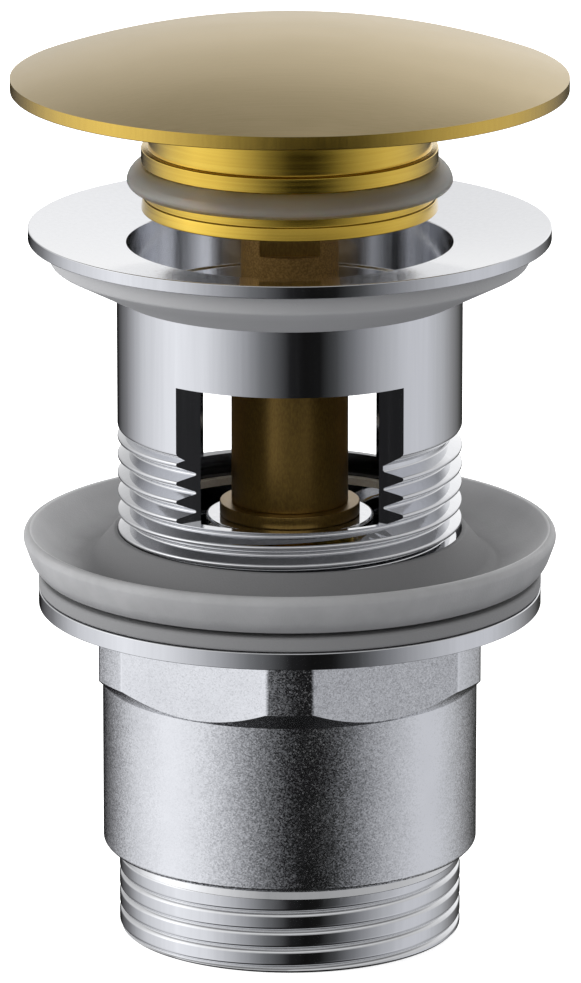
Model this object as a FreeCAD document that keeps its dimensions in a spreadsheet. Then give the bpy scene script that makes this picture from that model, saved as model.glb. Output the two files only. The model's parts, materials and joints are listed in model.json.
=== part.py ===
import FreeCAD, Part
import math
import os
import re
import Sketcher

# Pop up basin waste, in millimetres. The origin is the centre of the lower end of the tail,
# which the part stands on, and +Z runs up the axis to the cap. Threads are plain cylinders
# at their major diameter.

SIZES = {
    # Tail: threaded end for the trap, barrel, hexagon and the flange that carries the seals
    "thread_dia": 41.91,
    "thread_clearance": 0.2,
    "thread_chamfer": 1.0,
    "tail_thread_len": 10.8,
    "tail_relief_len": 0.9,
    "tail_relief_depth": 1.1,
    "tail_barrel_dia": 45.8,
    "tail_barrel_len": 20.65,
    "tail_edge": 0.45,
    "hex_flats": 46.3,
    "hex_corner_dia": 50.4,
    "hex_len": 9.55,
    "hex_count": 6,
    "tail_flange_dia": 61.3,
    "tail_flange_thk": 2.1,
    "tail_bore_dia": 37.0,
    "tail_socket_depth": 19.1,
    "tail_engagement": 7.1,
    # Slip washer and cup seal, between the tail's flange and the underside of the basin
    "slip_gap": 0.05,
    "slip_washer_dia": 61.3,
    "slip_washer_thk": 1.8,
    "slip_washer_edge": 0.4,
    "seal_clearance": 0.15,
    "seal_rim_dia": 65.2,
    "seal_rim_rise": 4.8,
    "seal_rim_land": 0.9,
    "seal_knee_inset": 1.1,
    "seal_knee_rise": 1.7,
    "seal_foot_inset": 2.1,
    "seal_neck_inset": 4.6,
    "seal_neck_len": 0.5,
    "seal_height": 5.45,
    "seal_valley_inset": 7.2,
    "seal_valley_rise": 1.3,
    "seal_dish_sag": 0.95,
    "seal_hub_land": 0.6,
    # Flange tube: threaded tube with overflow windows, seat bore and dished flange
    "tube_len": 52.09,
    "tube_bore_dia": 38.34,
    "tube_ledge_dia": 35.4,
    "tube_ledge_rise": 12.2,
    "flange_dia": 63.3,
    "flange_thk": 1.51,
    "flange_edge": 0.1,
    "flange_land": 0.2,
    "flange_dish": 1.84,
    "flange_drop": 1.98,
    "seat_bore_dia": 39.5,
    "seat_bore_depth": 9.29,
    "seat_step": 0.5,
    "window_reach": 15.93,
    "window_rise": 19.0,
    "window_height": 16.85,
    "window_count": 2,
    "gasket_dia": 58.1,
    "gasket_clearance": 0.05,
    "gasket_side": 2.1,
    "gasket_root": 4.7,
    # Spider that carries the cartridge, with its screw and washer
    "spider_clearance": 0.07,
    "spider_ring_wall": 1.0,
    "spider_height": 4.0,
    "hub_dia": 20.52,
    "arm_width": 3.0,
    "arm_height": 2.0,
    "arm_count": 3,
    "arm_angle": 60,
    "screw_dia": 6.0,
    "screw_clearance": 0.05,
    "screw_head_dia": 10.6,
    "screw_head_height": 3.3,
    "screw_reach": 2.9,
    "screw_slot_width": 1.4,
    "screw_slot_depth": 1.3,
    "washer_dia": 13.0,
    "washer_thk": 1.0,
    # Cartridge: base, sleeve, nut, latch ring with its ball, plunger and spring
    "fit_clearance": 0.05,
    "collar_dia": 17.06,
    "collar_thk": 1.6,
    "spigot_len": 2.4,
    "vent_dia": 1.8,
    "sleeve_dia": 14.2,
    "sleeve_len": 18.6,
    "nut_flats": 15.4,
    "nut_corner_dia": 17.2,
    "nut_skirt_len": 2.0,
    "nut_lid": 1.4,
    "nut_edge": 0.6,
    "ring_height": 2.6,
    "ring_end_gap": 0.2,
    "ring_clearance": 0.14,
    "ball_dia": 1.8,
    "cam_clearance": 0.2,
    "cam_turn": 120,
    "cam_start_angle": 30,
    "travel": 12.0,
    "rod_dia": 11.82,
    "rod_clearance": 0.07,
    "rod_len": 27.9,
    "rod_bore_dia": 8.4,
    "rod_bore_depth": 15.7,
    "rod_stop_gap": 0.6,
    "rod_edge": 0.4,
    "rod_flats": 9.3,
    "rod_flat_len": 11.1,
    "rod_flat_count": 2,
    "rod_tap_depth": 8.5,
    "spring_dia": 6.3,
    "wire_size": 0.85,
    "spring_turns": 7,
    "thrust_thk": 1.2,
    "thrust_clearance": 0.1,
    # Plug: stud, skirt with its seal groove, lip seal and domed cap
    "stud_len": 20.5,
    "skirt_dia": 35.88,
    "skirt_foot": 1.6,
    "skirt_band_dia": 34.9,
    "skirt_band": 1.4,
    "skirt_groove": 2.77,
    "skirt_groove_dia": 31.8,
    "skirt_head": 1.93,
    "skirt_edge": 0.3,
    "skirt_neck_dia": 33.7,
    "skirt_neck_len": 6.88,
    "skirt_bore_dia": 29.8,
    "skirt_recess": 6.5,
    "skirt_web": 2.5,
    "skirt_boss_dia": 11.0,
    "lip_dia": 39.0,
    "lip_edge": 0.45,
    "lip_crown": 0.35,
    "cap_dia": 67.32,
    "cap_rim_thk": 1.67,
    "cap_edge": 0.25,
    "cap_rise": 5.95,
    "cap_wall": 1.8,
    "cap_land": 2.46,
    "cap_boss_dia": 35.2,
    "cap_tap_depth": 5.2,
}

# Heights and radii that several pieces share, written once in terms of the sizes
TAIL_TOP = "(tail_thread_len + tail_barrel_len + hex_len + tail_flange_thk)"
SEAL_FOOT = f"({TAIL_TOP} + slip_gap + slip_washer_thk)"
TUBE_FOOT = f"({TAIL_TOP} - tail_engagement)"
SPIDER_FOOT = f"({TUBE_FOOT} + tube_ledge_rise)"
COLLAR_FOOT = f"({SPIDER_FOOT} + spider_height)"
SLEEVE_FOOT = f"({COLLAR_FOOT} + collar_thk)"
SLEEVE_TOP = f"({SLEEVE_FOOT} + sleeve_len)"
SPRING_FOOT = f"({SLEEVE_FOOT} + spigot_len)"
ROD_FOOT = f"({SPRING_FOOT} + travel + rod_stop_gap)"
SPRING_TOP = f"({ROD_FOOT} + rod_bore_depth - thrust_thk)"
BALL_HEIGHT = f"({SLEEVE_TOP} + ring_end_gap + ring_height / 2)"
SKIRT_FOOT = f"({ROD_FOOT} + rod_len - skirt_recess)"
GROOVE_FOOT = "(skirt_foot + skirt_band)"
SKIRT_LEN = f"({GROOVE_FOOT} + skirt_groove + skirt_head + skirt_neck_len)"
CAP_FOOT = f"({SKIRT_FOOT} + {SKIRT_LEN})"
TUBE_RADIUS = "(thread_dia / 2)"
SOCKET_RADIUS = "(thread_dia / 2 + thread_clearance)"
SEAL_BORE = "(thread_dia / 2 + seal_clearance)"
TAPPED_RADIUS = "(screw_dia / 2 + screw_clearance)"
ROD_RADIUS = "(rod_dia / 2)"
SLEEVE_BORE = "(rod_dia / 2 + rod_clearance)"
NUT_BORE = "(sleeve_dia / 2 + fit_clearance)"
RING_BORE = "(rod_dia / 2 + ring_clearance)"
BALL_ORBIT = "(sleeve_dia / 2 - ball_dia / 2 - fit_clearance)"

CIRCLE_DEGREES = 360
AXIS_VERTICAL = -2
AXIS_HORIZONTAL = -1
START, END, CENTRE = 1, 2, 3

doc = FreeCAD.newDocument("pop_up_basin_waste")
sheet = doc.addObject("Spreadsheet::Sheet", "Sizes")
for row, (word, number) in enumerate(SIZES.items(), start=1):
    sheet.set(f"A{row}", word)
    sheet.set(f"B{row}", str(number))
    sheet.setAlias(f"B{row}", word)
doc.recompute()


def bound(text):
    """The same expression with the sheet's name in front of each size."""
    return re.sub(r"[a-z_]+", lambda m: f"Sizes.{m[0]}" if m[0] in SIZES else m[0], text)


def value(text):
    """The number that an expression gives now, for first positions in a sketch."""
    return float(sheet.evalExpression(bound(text)))


def new_body(node, height="0", angle=None):
    """One sub-part, placed up the axis by an expression and turned about it."""
    body = doc.addObject("PartDesign::Body", node)
    body.Label = node
    body.setExpression(".Placement.Base.z", bound(height))
    if angle:
        body.setExpression(".Placement.Rotation.Angle", bound(angle))
    return body


def new_sketch(body, name, plane="XZ_Plane", lift=None, turn=None):
    """An empty sketch on one of the body's own origin planes, lifted or turned about Z."""
    sketch = body.newObject("Sketcher::SketchObject", f"{body.Name}_{name}")
    origin_plane = [f for f in body.Origin.OriginFeatures if f.Role == plane][0]
    sketch.AttachmentSupport = [(origin_plane, "")]
    sketch.MapMode = "FlatFace"
    if lift:
        sketch.setExpression("AttachmentOffset.Base.z", bound(lift))
    if turn:
        upright = FreeCAD.Rotation(FreeCAD.Vector(0, 1, 0), 1)
        sketch.AttachmentOffset = FreeCAD.Placement(FreeCAD.Vector(), upright)
        sketch.setExpression("AttachmentOffset.Rotation.Angle", bound(turn))
    return sketch


def bind(sketch, kind, *target, text):
    """A dimension whose number is an expression of the sizes."""
    index = sketch.addConstraint(Sketcher.Constraint(kind, *target, value(text)))
    sketch.setExpression(f"Constraints[{index}]", bound(text))


def fix_point(sketch, handle, across, along):
    """Ties one sketch point to its two expressions, or to an axis where one is nought."""
    for text, kind, axis in ((across, "DistanceX", AXIS_VERTICAL), (along, "DistanceY", AXIS_HORIZONTAL)):
        if text == "0":
            sketch.addConstraint(Sketcher.Constraint("PointOnObject", *handle, axis))
        else:
            bind(sketch, kind, -1, 1, *handle, text=text)


def arc_edge(start, end, radius, bulge):
    """A round edge from start to end: its centre is on the left where it bulges out."""
    chord = end - start
    left = FreeCAD.Vector(-chord.y, chord.x, 0).normalize()
    side = 1 if bulge == "out" else -1
    reach = math.sqrt(radius ** 2 - (chord.Length / 2) ** 2)
    centre = start + chord * 0.5 + left * reach * side
    first, last = (start, end) if side > 0 else (end, start)
    angles = [math.atan2(p.y - centre.y, p.x - centre.x) for p in (first, last)]
    circle = Part.Circle(centre, FreeCAD.Vector(0, 0, 1), radius)
    return Part.ArcOfCircle(circle, *angles), side > 0


def draw(sketch, corners):
    """A closed outline, counter-clockwise. A corner is (across, along) and may add an arc
    to the next corner as (radius, "out" or "in")."""
    spots = [FreeCAD.Vector(value(c[0]), value(c[1]), 0) for c in corners]
    ends = []
    for place, corner in enumerate(corners):
        here = spots[place]
        there = spots[(place + 1) % len(corners)]
        if len(corner) > 2:
            radius, bulge = corner[2]
            edge, forward = arc_edge(here, there, value(radius), bulge)
            index = sketch.addGeometry(edge)
            bind(sketch, "Radius", index, text=radius)
        else:
            forward = True
            index = sketch.addGeometry(Part.LineSegment(here, there))
        ends.append(((index, START), (index, END)) if forward else ((index, END), (index, START)))
    for place, corner in enumerate(corners):
        begin = ends[place][0]
        before = ends[place - 1][1]
        sketch.addConstraint(Sketcher.Constraint("Coincident", *before, *begin))
        fix_point(sketch, begin, corner[0], corner[1])


def draw_circle(sketch, radius, across="0", along="0"):
    """A circle whose centre and radius are expressions."""
    centre = FreeCAD.Vector(value(across), value(along), 0)
    index = sketch.addGeometry(Part.Circle(centre, FreeCAD.Vector(0, 0, 1), value(radius)))
    bind(sketch, "Radius", index, text=radius)
    fix_point(sketch, (index, CENTRE), across, along)


def feature(body, kind, name, sketch, **sizes):
    """A feature made from a sketch, with its sizes bound to expressions."""
    made = body.newObject(f"PartDesign::{kind}", f"{body.Name}_{name}")
    made.Profile = sketch
    for prop, text in sizes.items():
        made.setExpression(prop, bound(text))
    return made


def turned(body, corners):
    """A solid of revolution about the body's own axis."""
    sketch = new_sketch(body, "outline")
    draw(sketch, corners)
    made = feature(body, "Revolution", "turned", sketch)
    made.ReferenceAxis = (sketch, ["V_Axis"])
    made.Angle = CIRCLE_DEGREES
    return made


def milled(body, name, corners, lift, height, count=None):
    """A pocket cut upwards from a level, repeated about the axis where a count is given."""
    sketch = new_sketch(body, name, "XY_Plane", lift)
    draw(sketch, corners)
    cut = feature(body, "Pocket", f"{name}_cut", sketch, Length=height)
    cut.Reversed = True
    if count:
        repeat(body, name, cut, sketch, count)


def repeat(body, name, original, sketch, count):
    """Copies of a feature, evenly spaced about the axis."""
    pattern = body.newObject("PartDesign::PolarPattern", f"{body.Name}_{name}_pattern")
    pattern.Originals = [original]
    pattern.Axis = (sketch, ["N_Axis"])
    pattern.Angle = CIRCLE_DEGREES
    pattern.setExpression("Occurrences", bound(count))
    body.Tip = pattern


def rectangle(left, right, half_width):
    """Corners of a rectangle from left to right, centred on the first axis."""
    return [(left, f"-{half_width}"), (right, f"-{half_width}"), (right, half_width), (left, half_width)]


def tail_body():
    """Tail with outlet thread, barrel, hexagon, flange and the socket for the tube."""
    barrel_foot = "tail_thread_len"
    barrel_top = f"({barrel_foot} + tail_barrel_len)"
    hex_top = f"({barrel_top} + hex_len)"
    relief = f"({TUBE_RADIUS} - tail_relief_depth)"
    socket_floor = f"({TAIL_TOP} - tail_socket_depth)"
    hex_chamfer_top = f"({barrel_top} + (hex_corner_dia - tail_barrel_dia) / 2)"
    body = new_body("tail_body")
    turned(body, [
        ("tail_bore_dia / 2", "0"),
        (f"{TUBE_RADIUS} - thread_chamfer", "0"),
        (TUBE_RADIUS, "thread_chamfer"),
        (TUBE_RADIUS, f"{barrel_foot} - tail_relief_len - tail_relief_depth"),
        (relief, f"{barrel_foot} - tail_relief_len"),
        (relief, barrel_foot),
        ("tail_barrel_dia / 2 - tail_edge", barrel_foot),
        ("tail_barrel_dia / 2", f"{barrel_foot} + tail_edge"),
        ("tail_barrel_dia / 2", barrel_top),
        ("hex_corner_dia / 2", hex_chamfer_top),
        ("hex_corner_dia / 2", hex_top),
        ("tail_flange_dia / 2 - slip_washer_edge", hex_top),
        ("tail_flange_dia / 2", f"{hex_top} + slip_washer_edge"),
        ("tail_flange_dia / 2", f"{TAIL_TOP} - slip_washer_edge"),
        ("tail_flange_dia / 2 - slip_washer_edge", TAIL_TOP),
        (f"{SOCKET_RADIUS} + thread_chamfer", TAIL_TOP),
        (SOCKET_RADIUS, f"{TAIL_TOP} - thread_chamfer"),
        (SOCKET_RADIUS, socket_floor),
        ("tail_bore_dia / 2", socket_floor),
    ])
    flat = rectangle("hex_flats / 2", "hex_corner_dia", "hex_flats / 2")
    milled(body, "hexagon", flat, barrel_top, "hex_len", "hex_count")
    return body


def slip_washer():
    """Flat washer that lets the tail turn under the seal."""
    body = new_body("slip_washer", f"{TAIL_TOP} + slip_gap")
    turned(body, [
        (SEAL_BORE, "0"),
        ("slip_washer_dia / 2 - slip_washer_edge", "0"),
        ("slip_washer_dia / 2", "slip_washer_edge"),
        ("slip_washer_dia / 2", "slip_washer_thk - slip_washer_edge"),
        ("slip_washer_dia / 2 - slip_washer_edge", "slip_washer_thk"),
        (SEAL_BORE, "slip_washer_thk"),
    ])
    return body


def cup_seal():
    """Cup shaped rubber seal with a flared lip and a conical hub round the tube."""
    rim = "(seal_rim_dia / 2)"
    chord_across = "(seal_valley_inset - seal_rim_land)"
    chord_along = "(seal_height - seal_valley_rise)"
    quarter_chord = f"(({chord_across}^2 + {chord_along}^2) / 4)"
    dish = f"(({quarter_chord} + seal_dish_sag^2) / (2 * seal_dish_sag))"
    body = new_body("cup_seal", SEAL_FOOT)
    turned(body, [
        (SEAL_BORE, "0"),
        (f"{rim} - seal_neck_inset", "0"),
        (f"{rim} - seal_neck_inset", "seal_neck_len"),
        (f"{rim} - seal_foot_inset", "seal_neck_len"),
        (f"{rim} - seal_knee_inset", "seal_knee_rise"),
        (rim, "seal_rim_rise"),
        (f"{rim} - seal_rim_land / 2", "seal_height"),
        (f"{rim} - seal_rim_land", "seal_height", (dish, "in")),
        (f"{rim} - seal_valley_inset", "seal_valley_rise"),
        (f"{SEAL_BORE} + seal_hub_land", "seal_height"),
        (SEAL_BORE, "seal_height"),
    ])
    return body


def flange_tube():
    """Threaded tube with a dished flange, seat bore, ledge for the spider and windows."""
    flange_foot = "(tube_len - flange_thk)"
    seat_step = "(tube_len - seat_bore_depth)"
    seat_radius = "(seat_bore_dia / 2)"
    bore = "(tube_bore_dia / 2)"
    body = new_body("flange_tube", TUBE_FOOT)
    turned(body, [
        ("tube_ledge_dia / 2", "0"),
        (f"{TUBE_RADIUS} - thread_chamfer", "0"),
        (TUBE_RADIUS, "thread_chamfer"),
        (TUBE_RADIUS, f"{flange_foot} - flange_drop"),
        ("flange_dia / 2 - flange_edge", flange_foot),
        ("flange_dia / 2", f"{flange_foot} + flange_edge"),
        ("flange_dia / 2", "tube_len - flange_edge"),
        ("flange_dia / 2 - flange_edge", "tube_len"),
        ("flange_dia / 2 - flange_land", "tube_len"),
        (f"{seat_radius} + seat_step", "tube_len - flange_dish"),
        (seat_radius, "tube_len - flange_dish - seat_step"),
        (seat_radius, seat_step),
        (bore, seat_step),
        (bore, "tube_ledge_rise"),
        ("tube_ledge_dia / 2", "tube_ledge_rise"),
    ])
    side = [(f"-{TUBE_RADIUS}", "window_reach"), (TUBE_RADIUS, "window_reach"),
            (TUBE_RADIUS, "thread_dia"), (f"-{TUBE_RADIUS}", "thread_dia")]
    milled(body, "window", side, "window_rise", "window_height", "window_count")
    return body


def upper_gasket():
    """Tapered gasket under the flange, its top face as steep as the flange above it."""
    bore = f"({TUBE_RADIUS} + gasket_clearance)"
    slope = f"(flange_drop / (flange_dia / 2 - flange_edge - {TUBE_RADIUS}))"
    root = f"({TUBE_FOOT} + tube_len - flange_thk - flange_drop - gasket_root - gasket_clearance)"
    inner_top = f"(gasket_root + gasket_clearance * {slope})"
    outer_top = f"(gasket_root + (gasket_dia / 2 - {TUBE_RADIUS}) * {slope})"
    body = new_body("upper_gasket", root)
    turned(body, [
        (bore, "0"),
        ("gasket_dia / 2", f"{outer_top} - gasket_side"),
        ("gasket_dia / 2", outer_top),
        (bore, inner_top),
    ])
    return body


def strainer_spider():
    """Hub on arms inside a ring that drops onto the tube's ledge."""
    ring_outer = "(tube_bore_dia / 2 - spider_clearance)"
    ring_inner = f"({ring_outer} - spider_ring_wall)"
    body = new_body("strainer_spider", SPIDER_FOOT, "arm_angle")
    hub = new_sketch(body, "hub", "XY_Plane")
    draw_circle(hub, "hub_dia / 2")
    draw_circle(hub, TAPPED_RADIUS)
    feature(body, "Pad", "hub_pad", hub, Length="spider_height")
    arm = new_sketch(body, "arm", "XY_Plane")
    arm_root = "hub_dia / 2 - spider_ring_wall"
    arm_tip = f"{ring_outer} - spider_ring_wall / 2"
    draw(arm, rectangle(arm_root, arm_tip, "arm_width / 2"))
    arm_pad = feature(body, "Pad", "arm_pad", arm, Length="arm_height")
    repeat(body, "arm", arm_pad, arm, "arm_count")
    ring = new_sketch(body, "ring", "XY_Plane")
    draw_circle(ring, ring_outer)
    draw_circle(ring, ring_inner)
    feature(body, "Pad", "ring_pad", ring, Length="spider_height")
    return body


def screw_washer():
    """Washer under the hub."""
    body = new_body("screw_washer", f"{SPIDER_FOOT} - washer_thk")
    turned(body, [
        (TAPPED_RADIUS, "0"),
        ("washer_dia / 2", "0"),
        ("washer_dia / 2", "washer_thk"),
        (TAPPED_RADIUS, "washer_thk"),
    ])
    return body


def fixing_screw():
    """Slotted screw from below, through washer and hub into the cartridge's base."""
    shank = "(screw_head_height + washer_thk + spider_height + screw_reach)"
    body = new_body("fixing_screw", f"{SPIDER_FOOT} - washer_thk - screw_head_height")
    turned(body, [
        ("0", "0"),
        ("screw_head_dia / 2 - nut_edge", "0"),
        ("screw_head_dia / 2", "nut_edge"),
        ("screw_head_dia / 2", "screw_head_height"),
        ("screw_dia / 2", "screw_head_height"),
        ("screw_dia / 2", f"{shank} - nut_edge"),
        ("screw_dia / 2 - nut_edge", shank),
        ("0", shank),
    ])
    slot = rectangle("-screw_head_dia", "screw_head_dia", "screw_slot_width / 2")
    milled(body, "slot", slot, None, "screw_slot_depth")
    return body


def cartridge_base():
    """Brass collar that stands on the hub, with a spigot inside the sleeve."""
    body = new_body("cartridge_base", COLLAR_FOOT)
    turned(body, [
        (TAPPED_RADIUS, "0"),
        ("collar_dia / 2", "0"),
        ("collar_dia / 2", "collar_thk"),
        (f"{SLEEVE_BORE} - fit_clearance", "collar_thk"),
        (f"{SLEEVE_BORE} - fit_clearance", "collar_thk + spigot_len"),
        ("vent_dia / 2", "collar_thk + spigot_len"),
        ("vent_dia / 2", "screw_reach + screw_clearance"),
        (TAPPED_RADIUS, "screw_reach + screw_clearance"),
    ])
    return body


def cartridge_sleeve():
    """Brass sleeve that guides the plunger."""
    body = new_body("cartridge_sleeve", SLEEVE_FOOT)
    turned(body, [
        (SLEEVE_BORE, "0"),
        ("sleeve_dia / 2", "0"),
        ("sleeve_dia / 2", "sleeve_len"),
        (SLEEVE_BORE, "sleeve_len"),
    ])
    return body


def cartridge_nut():
    """Hexagon cap nut over the sleeve's end, with the chamber for the latch ring."""
    chamber_top = "(nut_skirt_len + ring_height + 2 * ring_end_gap)"
    nut_top = f"({chamber_top} + nut_lid)"
    body = new_body("cartridge_nut", f"{SLEEVE_TOP} - nut_skirt_len")
    turned(body, [
        (NUT_BORE, "0"),
        ("nut_corner_dia / 2", "0"),
        ("nut_corner_dia / 2", f"{nut_top} - nut_edge"),
        ("nut_corner_dia / 2 - nut_edge", nut_top),
        (RING_BORE, nut_top),
        (RING_BORE, chamber_top),
        (NUT_BORE, chamber_top),
    ])
    flat = rectangle("nut_flats / 2", "nut_corner_dia", "nut_flats / 2")
    milled(body, "hexagon", flat, None, nut_top, "hex_count")
    return body


def latch_ring():
    """Ring that turns round the plunger and carries the ball in a hole in its wall."""
    body = new_body("latch_ring", f"{SLEEVE_TOP} + ring_end_gap", "cam_start_angle")
    outer = f"({NUT_BORE} - ring_clearance)"
    turned(body, [
        (RING_BORE, "0"),
        (outer, "0"),
        (outer, "ring_height"),
        (RING_BORE, "ring_height"),
    ])
    hole = new_sketch(body, "hole", "YZ_Plane")
    draw_circle(hole, "ball_dia / 2 + fit_clearance", along="ring_height / 2")
    cut = feature(body, "Pocket", "hole_cut", hole, Length="sleeve_dia")
    cut.Reversed = True
    return body


def latch_ball():
    """Steel ball that rides in the plunger's slanted slot."""
    body = new_body("latch_ball", BALL_HEIGHT, "cam_start_angle")
    sketch = new_sketch(body, "outline")
    ball = "(ball_dia / 2)"
    draw(sketch, [
        (BALL_ORBIT, f"-{ball}", (ball, "out")),
        (f"{BALL_ORBIT} + {ball}", "0", (ball, "out")),
        (BALL_ORBIT, ball),
    ])
    made = feature(body, "Revolution", "turned", sketch)
    made.ReferenceAxis = (sketch, ["Edge3"])
    made.Angle = CIRCLE_DEGREES
    return body


def push_rod():
    """Hollow brass plunger with the slanted slot, wrench flats and a tapped head."""
    tap_floor = "(rod_len - rod_tap_depth)"
    body = new_body("push_rod", ROD_FOOT)
    turned(body, [
        ("rod_bore_dia / 2", "0"),
        (f"{ROD_RADIUS} - rod_edge", "0"),
        (ROD_RADIUS, "rod_edge"),
        (ROD_RADIUS, "rod_len"),
        (TAPPED_RADIUS, "rod_len"),
        (TAPPED_RADIUS, tap_floor),
        ("0", tap_floor),
        ("0", "rod_bore_depth"),
        ("rod_bore_dia / 2", "rod_bore_depth"),
    ])
    cam_slot(body)
    side = [(f"-{ROD_RADIUS}", "rod_flats / 2"), (ROD_RADIUS, "rod_flats / 2"),
            (ROD_RADIUS, "rod_dia"), (f"-{ROD_RADIUS}", "rod_dia")]
    milled(body, "flat", side, "rod_len - rod_flat_len", "rod_flat_len", "rod_flat_count")
    return body


def cam_slot(body):
    """The slot that turns the latch ring by cam_turn over the travel. It is wide enough for
    the ball square to its slope, and runs past the ball at both ends."""
    half_gap = "(ball_dia / 2 + cam_clearance)"
    over_angle = f"(asin({half_gap} / {BALL_ORBIT}) / 1 deg)"
    over_run = f"({over_angle} * travel / cam_turn)"
    arc_len = f"({BALL_ORBIT} * cam_turn * pi / 180)"
    slope = f"(travel / {arc_len})"
    half_tall = f"({half_gap} * sqrt(1 + {slope}^2))"
    middle = f"({BALL_HEIGHT} - {ROD_FOOT} - {over_run})"
    sketch = new_sketch(body, "cam", turn=f"cam_start_angle - {over_angle}")
    draw(sketch, [
        (f"{BALL_ORBIT} - {half_gap}", f"{middle} - {half_tall}"),
        ("rod_dia", f"{middle} - {half_tall}"),
        ("rod_dia", f"{middle} + {half_tall}"),
        (f"{BALL_ORBIT} - {half_gap}", f"{middle} + {half_tall}"),
    ])
    cut = feature(body, "SubtractiveHelix", "cam_cut", sketch)
    cut.ReferenceAxis = (sketch, ["V_Axis"])
    cut.Mode = "pitch-height-angle"
    cut.setExpression("Pitch", bound("travel * 360 / cam_turn"))
    cut.setExpression("Height", bound(f"travel + 2 * {over_run}"))


def thrust_disc():
    """Disc at the blind end of the plunger's bore that the spring turns against."""
    body = new_body("thrust_disc", SPRING_TOP)
    edge = "(rod_bore_dia / 2 - thrust_clearance)"
    turned(body, [
        ("0", "0"),
        (edge, "0"),
        (edge, "thrust_thk"),
        ("0", "thrust_thk"),
    ])
    return body


def return_spring():
    """Compression spring of square wire between the base's spigot and the thrust disc."""
    height = f"({SPRING_TOP} - {SPRING_FOOT} - wire_size)"
    inner = "(spring_dia / 2 - wire_size / 2)"
    outer = "(spring_dia / 2 + wire_size / 2)"
    body = new_body("return_spring", SPRING_FOOT)
    sketch = new_sketch(body, "wire")
    draw(sketch, [(inner, "0"), (outer, "0"), (outer, "wire_size"), (inner, "wire_size")])
    coil = feature(body, "AdditiveHelix", "coil", sketch)
    coil.ReferenceAxis = (sketch, ["V_Axis"])
    coil.Mode = "pitch-height-angle"
    coil.setExpression("Pitch", bound(f"{height} / spring_turns"))
    coil.setExpression("Height", bound(height))
    return body


def cap_stud():
    """Threaded stud that joins plunger, skirt and cap."""
    body = new_body("cap_stud", f"{CAP_FOOT} + cap_tap_depth - screw_clearance - stud_len")
    turned(body, [
        ("0", "0"),
        ("screw_dia / 2 - nut_edge", "0"),
        ("screw_dia / 2", "nut_edge"),
        ("screw_dia / 2", "stud_len - nut_edge"),
        ("screw_dia / 2 - nut_edge", "stud_len"),
        ("0", "stud_len"),
    ])
    return body


def plug_skirt():
    """Skirt of the plug: web on a boss, outer wall with foot, band and seal groove, and neck."""
    groove_top = f"({GROOVE_FOOT} + skirt_groove)"
    head_top = f"({groove_top} + skirt_head)"
    web_top = "(skirt_recess + skirt_web)"
    outer = "(skirt_dia / 2)"
    bore = "(skirt_bore_dia / 2)"
    body = new_body("plug_skirt", SKIRT_FOOT)
    turned(body, [
        (TAPPED_RADIUS, "skirt_recess"),
        (bore, "skirt_recess"),
        (bore, "0"),
        (f"{outer} - cap_edge", "0"),
        (outer, "cap_edge"),
        (outer, "skirt_foot"),
        ("skirt_band_dia / 2", "skirt_foot"),
        ("skirt_band_dia / 2", GROOVE_FOOT),
        ("skirt_groove_dia / 2", GROOVE_FOOT),
        ("skirt_groove_dia / 2", groove_top),
        (outer, groove_top),
        (outer, f"{head_top} - skirt_edge", ("skirt_edge", "out")),
        (f"{outer} - skirt_edge", head_top),
        ("skirt_neck_dia / 2", head_top),
        ("skirt_neck_dia / 2", SKIRT_LEN),
        (bore, SKIRT_LEN),
        (bore, web_top),
        ("skirt_boss_dia / 2", web_top),
        ("skirt_boss_dia / 2", SKIRT_LEN),
        (TAPPED_RADIUS, SKIRT_LEN),
    ])
    return body


def lip_seal():
    """Silicone lip held in the skirt's groove, which slopes down to a rounded edge."""
    root = "(skirt_groove_dia / 2 + fit_clearance)"
    shoulder = "(skirt_dia / 2)"
    tip = "(lip_dia / 2)"
    quarter_chord = f"((({tip} - {shoulder})^2 + (skirt_groove - lip_edge)^2) / 4)"
    crown = f"(({quarter_chord} + lip_crown^2) / (2 * lip_crown))"
    body = new_body("lip_seal", f"{SKIRT_FOOT} + {GROOVE_FOOT}")
    turned(body, [
        (root, "0"),
        (f"{tip} - lip_edge", "0", ("lip_edge", "out")),
        (tip, "lip_edge", (crown, "out")),
        (shoulder, "skirt_groove"),
        (root, "skirt_groove"),
    ])
    return body


def cap_dome():
    """Domed cap with a thin rim, hollow underneath round a tapped boss."""
    rim = "(cap_dia / 2)"
    shoulder = "(cap_rim_thk)"
    apex = f"({shoulder} + cap_rise)"
    sphere = f"(({rim}^2 + cap_rise^2) / (2 * cap_rise))"
    inner_sphere = f"({sphere} - cap_wall)"
    land = f"({rim} - cap_land)"
    boss = "(cap_boss_dia / 2)"
    roof_at_boss = f"({apex} - {sphere} + sqrt({inner_sphere}^2 - {boss}^2))"
    roof_at_land = f"({apex} - {sphere} + sqrt({inner_sphere}^2 - {land}^2))"
    body = new_body("cap_dome", CAP_FOOT)
    turned(body, [
        (TAPPED_RADIUS, "0"),
        (boss, "0"),
        (boss, roof_at_boss, (inner_sphere, "in")),
        (land, roof_at_land),
        (land, "0"),
        (f"{rim} - cap_edge", "0"),
        (rim, "cap_edge"),
        (rim, shoulder, (sphere, "out")),
        ("0", apex),
        ("0", "cap_tap_depth"),
        (TAPPED_RADIUS, "cap_tap_depth"),
    ])
    return body


PIECES = (
    tail_body, slip_washer, cup_seal, flange_tube, upper_gasket, strainer_spider,
    screw_washer, fixing_screw, cartridge_base, cartridge_sleeve, cartridge_nut,
    latch_ring, latch_ball, push_rod, thrust_disc, return_spring,
    cap_stud, plug_skirt, lip_seal, cap_dome,
)


def check(bodies):
    """Stops when a feature failed or a piece isn't one sound solid."""
    for item in doc.Objects:
        if {"Invalid", "Error"} & set(item.State):
            raise SystemExit(f"{item.Name} failed: {item.State}")
    for body in bodies:
        shape = body.Shape
        if shape.isNull() or not shape.isValid() or len(shape.Solids) != 1:
            raise SystemExit(f"{body.Label} isn't one sound solid")


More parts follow.
